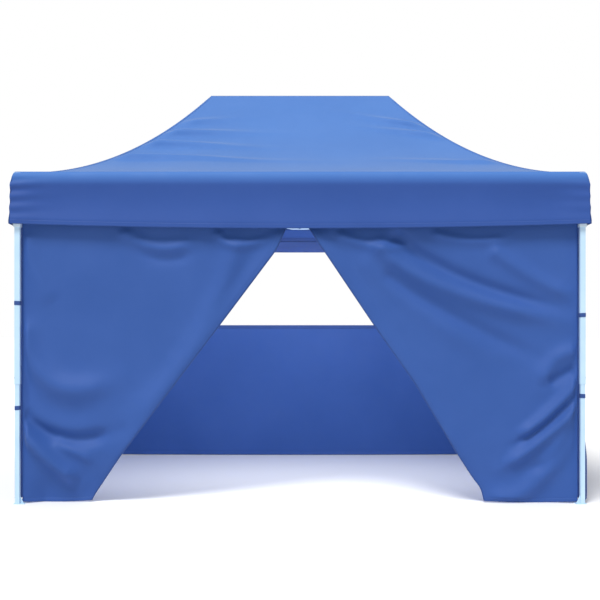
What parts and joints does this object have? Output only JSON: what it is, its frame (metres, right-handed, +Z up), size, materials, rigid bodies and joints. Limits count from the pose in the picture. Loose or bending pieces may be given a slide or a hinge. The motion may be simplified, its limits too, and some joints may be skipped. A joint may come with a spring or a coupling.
{
  "type": "pop up gazebo",
  "caption": "Folding garden gazebo on telescopic steel legs: scissor trusses, hipped fabric roof with valance, side walls, doorway and back window.",
  "frame": {"origin": "on the ground under the middle of the frame", "axes": "+Z up, +X along the long side, -Y out of the doorway"},
  "size_m": [4.1, 2.7934, 3.18],
  "materials": {
    "painted_steel": "smooth pale blue-white powder coat",
    "bracket_plastic": "moulded pale nylon, satin",
    "button_plastic": "moulded grey nylon",
    "roof_fabric": "blue coated polyester, plain weave, light sheen",
    "wall_fabric": "blue coated polyester, plain weave, light sheen",
    "window_film": "clear flexible film"
  },
  "bodies": {
    "guide_left": {"peak_guide_left": "bracket_plastic"},
    "guide_right": {"peak_guide_right": "bracket_plastic"},
    "pole_left": {"peak_pole_left": "painted_steel"},
    "bracket_left_top": {"side_bracket_left_top": "bracket_plastic"},
    "bracket_left_bottom": {"side_bracket_left_bottom": "bracket_plastic"},
    "pole_right": {"peak_pole_right": "painted_steel"},
    "bracket_right_top": {"side_bracket_right_top": "bracket_plastic"},
    "bracket_right_bottom": {"side_bracket_right_bottom": "bracket_plastic"},
    "front_bar_1_falling": {"front_bar_1_falling": "painted_steel"},
    "front_bar_1_rising": {"front_bar_1_rising": "painted_steel"},
    "front_bar_2_falling": {"front_bar_2_falling": "painted_steel"},
    "front_bar_2_rising": {"front_bar_2_rising": "painted_steel"},
    "front_bar_3_falling": {"front_bar_3_falling": "painted_steel"},
    "front_bar_3_rising": {"front_bar_3_rising": "painted_steel"},
    "back_bar_1_falling": {"back_bar_1_falling": "painted_steel"},
    "back_bar_1_rising": {"back_bar_1_rising": "painted_steel"},
    "back_bar_2_falling": {"back_bar_2_falling": "painted_steel"},
    "back_bar_2_rising": {"back_bar_2_rising": "painted_steel"},
    "back_bar_3_falling": {"back_bar_3_falling": "painted_steel"},
    "back_bar_3_rising": {"back_bar_3_rising": "painted_steel"},
    "middle_bar_1_falling": {"middle_bar_1_falling": "painted_steel"},
    "middle_bar_1_rising": {"middle_bar_1_rising": "painted_steel"},
    "middle_bar_2_falling": {"middle_bar_2_falling": "painted_steel"},
    "middle_bar_2_rising": {"middle_bar_2_rising": "painted_steel"},
    "middle_bar_3_falling": {"middle_bar_3_falling": "painted_steel"},
    "middle_bar_3_rising": {"middle_bar_3_rising": "painted_steel"},
    "left_bar_1_falling": {"left_bar_1_falling": "painted_steel"},
    "left_bar_1_rising": {"left_bar_1_rising": "painted_steel"},
    "left_bar_2_falling": {"left_bar_2_falling": "painted_steel"},
    "left_bar_2_rising": {"left_bar_2_rising": "painted_steel"},
    "right_bar_1_falling": {"right_bar_1_falling": "painted_steel"},
    "right_bar_1_rising": {"right_bar_1_rising": "painted_steel"},
    "right_bar_2_falling": {"right_bar_2_falling": "painted_steel"},
    "right_bar_2_rising": {"right_bar_2_rising": "painted_steel"},
    "leg_front_left": {"leg_outer_front_left": "painted_steel", "door_flap_left": "wall_fabric", "side_wall_left": "wall_fabric"},
    "slider_front_left": {"slider_front_left": "bracket_plastic"},
    "inner_leg_front_left": {"leg_inner_front_left": "painted_steel"},
    "button_front_left": {"slider_button_front_left": "button_plastic"},
    "leg_front_right": {"leg_outer_front_right": "painted_steel", "door_flap_right": "wall_fabric", "side_wall_right": "wall_fabric"},
    "slider_front_right": {"slider_front_right": "bracket_plastic"},
    "inner_leg_front_right": {"leg_inner_front_right": "painted_steel"},
    "button_front_right": {"slider_button_front_right": "button_plastic"},
    "leg_back_left": {"leg_outer_back_left": "painted_steel", "back_wall": "wall_fabric", "back_window": "window_film"},
    "slider_back_left": {"slider_back_left": "bracket_plastic"},
    "inner_leg_back_left": {"leg_inner_back_left": "painted_steel"},
    "button_back_left": {"slider_button_back_left": "button_plastic"},
    "leg_back_right": {"leg_outer_back_right": "painted_steel"},
    "slider_back_right": {"slider_back_right": "bracket_plastic"},
    "inner_leg_back_right": {"leg_inner_back_right": "painted_steel"},
    "button_back_right": {"slider_button_back_right": "button_plastic"},
    "canopy_front": {"canopy_front": "roof_fabric"},
    "canopy_back": {"canopy_back": "roof_fabric"},
    "canopy_left": {"canopy_left": "roof_fabric"},
    "canopy_right": {"canopy_right": "roof_fabric"}
  },
  "joints": [
    {"name": "frame_fold", "type": "hinge", "parent": "leg_front_left", "child": "front_bar_1_falling", "pos_m": [-1.96, -1.35167, 2.315], "axis": [0, 1, 0], "range_deg": [0, 72.8], "deforming": ["canopy_front", "canopy_back", "canopy_left", "canopy_right", "door_flap_left", "door_flap_right", "back_wall", "back_window", "side_wall_left", "side_wall_right"]},
    {"name": "front_bar_1_rising_pivot", "type": "hinge", "parent": "front_bar_1_falling", "child": "front_bar_1_rising", "pos_m": [-1.30667, -1.35167, 2.165], "axis": [0, 1, 0], "range_deg": [-145.6, 0]},
    {"name": "front_bar_2_rising_pivot", "type": "hinge", "parent": "front_bar_1_falling", "child": "front_bar_2_rising", "pos_m": [-0.65333, -1.35167, 2.015], "axis": [0, 1, 0], "range_deg": [-145.6, 0]},
    {"name": "front_bar_2_falling_pivot", "type": "hinge", "parent": "front_bar_2_rising", "child": "front_bar_2_falling", "pos_m": [0, -1.35167, 2.165], "axis": [0, 1, 0], "range_deg": [0, 145.6]},
    {"name": "front_bar_3_falling_pivot", "type": "hinge", "parent": "front_bar_2_rising", "child": "front_bar_3_falling", "pos_m": [0.65333, -1.35167, 2.315], "axis": [0, 1, 0], "range_deg": [0, 145.6]},
    {"name": "front_bar_3_rising_pivot", "type": "hinge", "parent": "front_bar_3_falling", "child": "front_bar_3_rising", "pos_m": [1.30667, -1.35167, 2.165], "axis": [0, 1, 0], "range_deg": [-145.6, 0]},
    {"name": "leg_front_right_pivot", "type": "hinge", "parent": "front_bar_3_rising", "child": "leg_front_right", "pos_m": [1.96, -1.35167, 2.315], "axis": [0, 1, 0], "range_deg": [0, 72.8]},
    {"name": "left_bar_1_falling_pivot", "type": "hinge", "parent": "leg_front_left", "child": "left_bar_1_falling", "pos_m": [-2.005, -1.30667, 2.315], "axis": [1, 0, 0], "range_deg": [-72.8, 0]},
    {"name": "left_bar_2_rising_pivot", "type": "hinge", "parent": "left_bar_1_falling", "child": "left_bar_2_rising", "pos_m": [-2.005, 0, 2.015], "axis": [1, 0, 0], "range_deg": [0, 145.6]},
    {"name": "leg_back_left_pivot", "type": "hinge", "parent": "left_bar_2_rising", "child": "leg_back_left", "pos_m": [-2.005, 1.30667, 2.315], "axis": [1, 0, 0], "range_deg": [-72.8, 0]},
    {"name": "back_bar_1_falling_pivot", "type": "hinge", "parent": "leg_back_left", "child": "back_bar_1_falling", "pos_m": [-1.96, 1.35167, 2.315], "axis": [0, 1, 0], "range_deg": [0, 72.8]},
    {"name": "back_bar_1_rising_pivot", "type": "hinge", "parent": "back_bar_1_falling", "child": "back_bar_1_rising", "pos_m": [-1.30667, 1.35167, 2.165], "axis": [0, 1, 0], "range_deg": [-145.6, 0]},
    {"name": "back_bar_2_rising_pivot", "type": "hinge", "parent": "back_bar_1_falling", "child": "back_bar_2_rising", "pos_m": [-0.65333, 1.35167, 2.015], "axis": [0, 1, 0], "range_deg": [-145.6, 0]},
    {"name": "back_bar_2_falling_pivot", "type": "hinge", "parent": "back_bar_2_rising", "child": "back_bar_2_falling", "pos_m": [0, 1.35167, 2.165], "axis": [0, 1, 0], "range_deg": [0, 145.6]},
    {"name": "back_bar_3_falling_pivot", "type": "hinge", "parent": "back_bar_2_rising", "child": "back_bar_3_falling", "pos_m": [0.65333, 1.35167, 2.315], "axis": [0, 1, 0], "range_deg": [0, 145.6]},
    {"name": "back_bar_3_rising_pivot", "type": "hinge", "parent": "back_bar_3_falling", "child": "back_bar_3_rising", "pos_m": [1.30667, 1.35167, 2.165], "axis": [0, 1, 0], "range_deg": [-145.6, 0]},
    {"name": "leg_back_right_pivot", "type": "hinge", "parent": "back_bar_3_rising", "child": "leg_back_right", "pos_m": [1.96, 1.35167, 2.315], "axis": [0, 1, 0], "range_deg": [0, 72.8]},
    {"name": "right_bar_1_falling_pivot", "type": "hinge", "parent": "leg_front_right", "child": "right_bar_1_falling", "pos_m": [2.005, -1.30667, 2.315], "axis": [1, 0, 0], "range_deg": [-72.8, 0]},
    {"name": "right_bar_2_rising_pivot", "type": "hinge", "parent": "leg_back_right", "child": "right_bar_2_rising", "pos_m": [2.005, 1.30667, 2.315], "axis": [1, 0, 0], "range_deg": [0, 72.8]},
    {"name": "left_bar_1_rising_pivot", "type": "hinge", "parent": "left_bar_1_falling", "child": "left_bar_1_rising", "pos_m": [-2.005, -0.65333, 2.165], "axis": [1, 0, 0], "range_deg": [0, 145.6]},
    {"name": "left_bar_2_falling_pivot", "type": "hinge", "parent": "left_bar_2_rising", "child": "left_bar_2_falling", "pos_m": [-2.005, 0.65333, 2.165], "axis": [1, 0, 0], "range_deg": [-145.6, 0]},
    {"name": "slider_front_left_pivot", "type": "hinge", "parent": "left_bar_1_rising", "child": "slider_front_left", "pos_m": [-2.005, -1.30667, 2.015], "axis": [1, 0, 0], "range_deg": [-72.8, 0]},
    {"name": "slider_back_left_pivot", "type": "hinge", "parent": "left_bar_2_falling", "child": "slider_back_left", "pos_m": [-2.005, 1.30667, 2.015], "axis": [1, 0, 0], "range_deg": [0, 72.8]},
    {"name": "bracket_left_top_pivot", "type": "hinge", "parent": "left_bar_1_rising", "child": "bracket_left_top", "pos_m": [-2.005, 0, 2.315], "axis": [1, 0, 0], "range_deg": [-72.8, 0]},
    {"name": "bracket_left_bottom_pivot", "type": "hinge", "parent": "left_bar_1_falling", "child": "bracket_left_bottom", "pos_m": [-2.005, 0, 2.015], "axis": [1, 0, 0], "range_deg": [0, 72.8]},
    {"name": "right_bar_1_rising_pivot", "type": "hinge", "parent": "right_bar_1_falling", "child": "right_bar_1_rising", "pos_m": [2.005, -0.65333, 2.165], "axis": [1, 0, 0], "range_deg": [0, 145.6]},
    {"name": "right_bar_2_falling_pivot", "type": "hinge", "parent": "right_bar_2_rising", "child": "right_bar_2_falling", "pos_m": [2.005, 0.65333, 2.165], "axis": [1, 0, 0], "range_deg": [-145.6, 0]},
    {"name": "slider_front_right_pivot", "type": "hinge", "parent": "right_bar_1_rising", "child": "slider_front_right", "pos_m": [2.005, -1.30667, 2.015], "axis": [1, 0, 0], "range_deg": [-72.8, 0]},
    {"name": "slider_back_right_pivot", "type": "hinge", "parent": "right_bar_2_falling", "child": "slider_back_right", "pos_m": [2.005, 1.30667, 2.015], "axis": [1, 0, 0], "range_deg": [0, 72.8]},
    {"name": "bracket_right_top_pivot", "type": "hinge", "parent": "right_bar_1_rising", "child": "bracket_right_top", "pos_m": [2.005, 0, 2.315], "axis": [1, 0, 0], "range_deg": [-72.8, 0]},
    {"name": "bracket_right_bottom_pivot", "type": "hinge", "parent": "right_bar_1_falling", "child": "bracket_right_bottom", "pos_m": [2.005, 0, 2.015], "axis": [1, 0, 0], "range_deg": [0, 72.8]},
    {"name": "middle_bar_1_falling_pivot", "type": "hinge", "parent": "bracket_left_top", "child": "middle_bar_1_falling", "pos_m": [-1.96, 0, 2.315], "axis": [0, 1, 0], "range_deg": [0, 72.8]},
    {"name": "middle_bar_1_rising_pivot", "type": "hinge", "parent": "middle_bar_1_falling", "child": "middle_bar_1_rising", "pos_m": [-1.30667, 0, 2.165], "axis": [0, 1, 0], "range_deg": [-145.6, 0]},
    {"name": "guide_left_pivot", "type": "hinge", "parent": "middle_bar_1_rising", "child": "guide_left", "pos_m": [-0.65333, 0, 2.315], "axis": [0, 1, 0], "range_deg": [0, 72.8]},
    {"name": "pole_left_pivot", "type": "hinge", "parent": "middle_bar_1_falling", "child": "pole_left", "pos_m": [-0.65333, 0, 2.015], "axis": [0, 1, 0], "range_deg": [-72.8, 0]},
    {"name": "middle_bar_2_rising_pivot", "type": "hinge", "parent": "middle_bar_1_falling", "child": "middle_bar_2_rising", "pos_m": [-0.65333, 0, 2.015], "axis": [0, 1, 0], "range_deg": [-145.6, 0]},
    {"name": "middle_bar_2_falling_pivot", "type": "hinge", "parent": "middle_bar_2_rising", "child": "middle_bar_2_falling", "pos_m": [0, 0, 2.165], "axis": [0, 1, 0], "range_deg": [0, 145.6]},
    {"name": "middle_bar_3_rising_pivot", "type": "hinge", "parent": "bracket_right_top", "child": "middle_bar_3_rising", "pos_m": [1.96, 0, 2.315], "axis": [0, 1, 0], "range_deg": [-72.8, 0]},
    {"name": "middle_bar_3_falling_pivot", "type": "hinge", "parent": "middle_bar_3_rising", "child": "middle_bar_3_falling", "pos_m": [1.30667, 0, 2.165], "axis": [0, 1, 0], "range_deg": [0, 145.6]},
    {"name": "guide_right_pivot", "type": "hinge", "parent": "middle_bar_3_falling", "child": "guide_right", "pos_m": [0.65333, 0, 2.315], "axis": [0, 1, 0], "range_deg": [-72.8, 0]},
    {"name": "pole_right_pivot", "type": "hinge", "parent": "middle_bar_3_rising", "child": "pole_right", "pos_m": [0.65333, 0, 2.015], "axis": [0, 1, 0], "range_deg": [0, 72.8]},
    {"name": "canopy_front_tuck", "type": "hinge", "parent": "leg_front_left", "child": "canopy_front", "pos_m": [0, -1.39667, 2.3545], "axis": [1, 0, 0], "range_deg": [-123.76, 0]},
    {"name": "canopy_back_tuck", "type": "hinge", "parent": "leg_back_left", "child": "canopy_back", "pos_m": [0, 1.39667, 2.3545], "axis": [1, 0, 0], "range_deg": [0, 123.76]},
    {"name": "canopy_left_tuck", "type": "hinge", "parent": "leg_front_left", "child": "canopy_left", "pos_m": [-2.05, 0, 2.3545], "axis": [0, 1, 0], "range_deg": [0, 123.76]},
    {"name": "canopy_right_tuck", "type": "hinge", "parent": "leg_front_right", "child": "canopy_right", "pos_m": [2.05, 0, 2.3545], "axis": [0, 1, 0], "range_deg": [-123.76, 0]},
    {"name": "leg_height_front_left", "type": "slide", "parent": "leg_front_left", "child": "inner_leg_front_left", "axis": [0, 0, 1], "range_m": [0, 0.72]},
    {"name": "slider_release_front_left", "type": "slide", "parent": "slider_front_left", "child": "button_front_left", "axis": [1, 0, 0], "range_m": [0, 0.003], "stiffness_N_per_m": 1500, "springref_m": -0.002},
    {"name": "leg_height_front_right", "type": "slide", "parent": "leg_front_right", "child": "inner_leg_front_right", "axis": [0, 0, 1], "range_m": [0, 0.72]},
    {"name": "slider_release_front_right", "type": "slide", "parent": "slider_front_right", "child": "button_front_right", "axis": [-1, 0, 0], "range_m": [0, 0.003], "stiffness_N_per_m": 1500, "springref_m": -0.002},
    {"name": "leg_height_back_left", "type": "slide", "parent": "leg_back_left", "child": "inner_leg_back_left", "axis": [0, 0, 1], "range_m": [0, 0.72]},
    {"name": "slider_release_back_left", "type": "slide", "parent": "slider_back_left", "child": "button_back_left", "axis": [1, 0, 0], "range_m": [0, 0.003], "stiffness_N_per_m": 1500, "springref_m": -0.002},
    {"name": "leg_height_back_right", "type": "slide", "parent": "leg_back_right", "child": "inner_leg_back_right", "axis": [0, 0, 1], "range_m": [0, 0.72]},
    {"name": "slider_release_back_right", "type": "slide", "parent": "slider_back_right", "child": "button_back_right", "axis": [-1, 0, 0], "range_m": [0, 0.003], "stiffness_N_per_m": 1500, "springref_m": -0.002}
  ],
  "couplings": [
    {"joint": "front_bar_1_rising_pivot", "follows": "frame_fold", "ratio": -2},
    {"joint": "front_bar_2_rising_pivot", "follows": "frame_fold", "ratio": -2},
    {"joint": "front_bar_2_falling_pivot", "follows": "frame_fold", "ratio": 2},
    {"joint": "front_bar_3_falling_pivot", "follows": "frame_fold", "ratio": 2},
    {"joint": "front_bar_3_rising_pivot", "follows": "frame_fold", "ratio": -2},
    {"joint": "leg_front_right_pivot", "follows": "frame_fold", "ratio": 1},
    {"joint": "left_bar_1_falling_pivot", "follows": "frame_fold", "ratio": -1},
    {"joint": "left_bar_2_rising_pivot", "follows": "frame_fold", "ratio": 2},
    {"joint": "leg_back_left_pivot", "follows": "frame_fold", "ratio": -1},
    {"joint": "back_bar_1_falling_pivot", "follows": "frame_fold", "ratio": 1},
    {"joint": "back_bar_1_rising_pivot", "follows": "frame_fold", "ratio": -2},
    {"joint": "back_bar_2_rising_pivot", "follows": "frame_fold", "ratio": -2},
    {"joint": "back_bar_2_falling_pivot", "follows": "frame_fold", "ratio": 2},
    {"joint": "back_bar_3_falling_pivot", "follows": "frame_fold", "ratio": 2},
    {"joint": "back_bar_3_rising_pivot", "follows": "frame_fold", "ratio": -2},
    {"joint": "leg_back_right_pivot", "follows": "frame_fold", "ratio": 1},
    {"joint": "right_bar_1_falling_pivot", "follows": "frame_fold", "ratio": -1},
    {"joint": "right_bar_2_rising_pivot", "follows": "frame_fold", "ratio": 1},
    {"joint": "left_bar_1_rising_pivot", "follows": "frame_fold", "ratio": 2},
    {"joint": "left_bar_2_falling_pivot", "follows": "frame_fold", "ratio": -2},
    {"joint": "slider_front_left_pivot", "follows": "frame_fold", "ratio": -1},
    {"joint": "slider_back_left_pivot", "follows": "frame_fold", "ratio": 1},
    {"joint": "bracket_left_top_pivot", "follows": "frame_fold", "ratio": -1},
    {"joint": "bracket_left_bottom_pivot", "follows": "frame_fold", "ratio": 1},
    {"joint": "right_bar_1_rising_pivot", "follows": "frame_fold", "ratio": 2},
    {"joint": "right_bar_2_falling_pivot", "follows": "frame_fold", "ratio": -2},
    {"joint": "slider_front_right_pivot", "follows": "frame_fold", "ratio": -1},
    {"joint": "slider_back_right_pivot", "follows": "frame_fold", "ratio": 1},
    {"joint": "bracket_right_top_pivot", "follows": "frame_fold", "ratio": -1},
    {"joint": "bracket_right_bottom_pivot", "follows": "frame_fold", "ratio": 1},
    {"joint": "middle_bar_1_falling_pivot", "follows": "frame_fold", "ratio": 1},
    {"joint": "middle_bar_1_rising_pivot", "follows": "frame_fold", "ratio": -2},
    {"joint": "guide_left_pivot", "follows": "frame_fold", "ratio": 1},
    {"joint": "pole_left_pivot", "follows": "frame_fold", "ratio": -1},
    {"joint": "middle_bar_2_rising_pivot", "follows": "frame_fold", "ratio": -2},
    {"joint": "middle_bar_2_falling_pivot", "follows": "frame_fold", "ratio": 2},
    {"joint": "middle_bar_3_rising_pivot", "follows": "frame_fold", "ratio": -1},
    {"joint": "middle_bar_3_falling_pivot", "follows": "frame_fold", "ratio": 2},
    {"joint": "guide_right_pivot", "follows": "frame_fold", "ratio": -1},
    {"joint": "pole_right_pivot", "follows": "frame_fold", "ratio": 1},
    {"joint": "canopy_front_tuck", "follows": "frame_fold", "ratio": -1.7},
    {"joint": "canopy_back_tuck", "follows": "frame_fold", "ratio": 1.7},
    {"joint": "canopy_left_tuck", "follows": "frame_fold", "ratio": 1.7},
    {"joint": "canopy_right_tuck", "follows": "frame_fold", "ratio": -1.7}
  ]
}
